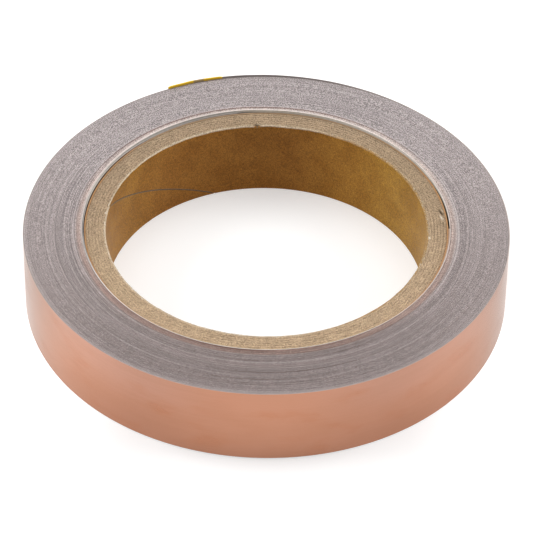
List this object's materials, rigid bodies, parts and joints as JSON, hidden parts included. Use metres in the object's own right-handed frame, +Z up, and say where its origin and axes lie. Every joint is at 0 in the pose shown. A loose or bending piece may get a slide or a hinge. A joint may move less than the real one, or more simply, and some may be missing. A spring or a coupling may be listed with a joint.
{
  "type": "copper foil tape roll",
  "caption": "Roll of adhesive copper foil tape on a paper tube core, with a release liner between the turns and a yellow sticker that holds the free end down.",
  "frame": {"origin": "centre of the underside of the roll, on the core's axis, on the surface that the roll lies on", "axes": "+Z up along the core's axis, +X to the right in the front view, -Y towards the viewer; the free end of the tape is at the back and points anticlockwise seen from above"},
  "size_m": [0.1155, 0.1155, 0.021],
  "materials": {
    "core_lining": "smooth golden kraft paper, mottled",
    "core_board": "cut edge of grey-brown chipboard with fibres and flecks",
    "core_outer": "orange-brown kraft paper",
    "liner": "smooth white release paper",
    "copper": "bright satin copper foil",
    "wound_edge": "pinkish grey edges of foil and paper turns, very finely grooved",
    "tab_yellow": "bright yellow coated paper sticker"
  },
  "bodies": {
    "roll": {"core_inner_ply": "core_lining", "core_board_ply_1": "core_board", "core_board_ply_2": "core_board", "core_board_ply_3": "core_board", "core_board_ply_4": "core_board", "core_board_ply_5": "core_board", "core_board_ply_6": "core_board", "core_outer_ply": "core_outer", "starter_strip": "liner", "first_turn_liner": "liner", "first_turn_foil": "copper", "wound_turns_1": "wound_edge", "wound_turns_2": "wound_edge", "wound_turns_3": "wound_edge", "wound_turns_4": "wound_edge", "wound_turns_5": "wound_edge", "wound_turns_6": "wound_edge", "wound_turns_7": "wound_edge", "last_turn_liner": "liner", "last_turn_foil": "copper"},
    "tail_root": {"tail_1_liner": "liner", "tail_1_foil": "copper"},
    "tail_middle": {"tail_2_liner": "liner", "tail_2_foil": "copper"},
    "tail_end": {"tail_3_liner": "liner", "tail_3_foil": "copper", "closure_tab": "tab_yellow"},
    "liner_tip": {"tail_liner_tip": "liner"}
  },
  "joints": [
    {"name": "tail_lift", "type": "hinge", "parent": "roll", "child": "tail_root", "pos_m": [0.03715, 0.04428, 0.01], "axis": [0, 0, -1], "range_deg": [0, 50]},
    {"name": "tail_bend_2", "type": "hinge", "parent": "tail_root", "child": "tail_middle", "pos_m": [0.01977, 0.05432, 0.01], "axis": [0, 0, -1], "range_deg": [0, 25]},
    {"name": "tail_bend_3", "type": "hinge", "parent": "tail_middle", "child": "tail_end", "pos_m": [0, 0.05781, 0.01], "axis": [0, 0, -1], "range_deg": [0, 20]},
    {"name": "liner_tip_peel", "type": "hinge", "parent": "tail_end", "child": "liner_tip", "pos_m": [-0.01002, 0.05681, 0.01], "axis": [0, 0, -1], "range_deg": [-30, 0]}
  ],
  "couplings": [
    {"joint": "tail_bend_2", "follows": "tail_lift", "ratio": 0.5},
    {"joint": "tail_bend_3", "follows": "tail_lift", "ratio": 0.4},
    {"joint": "liner_tip_peel", "follows": "tail_lift", "ratio": -0.6}
  ]
}
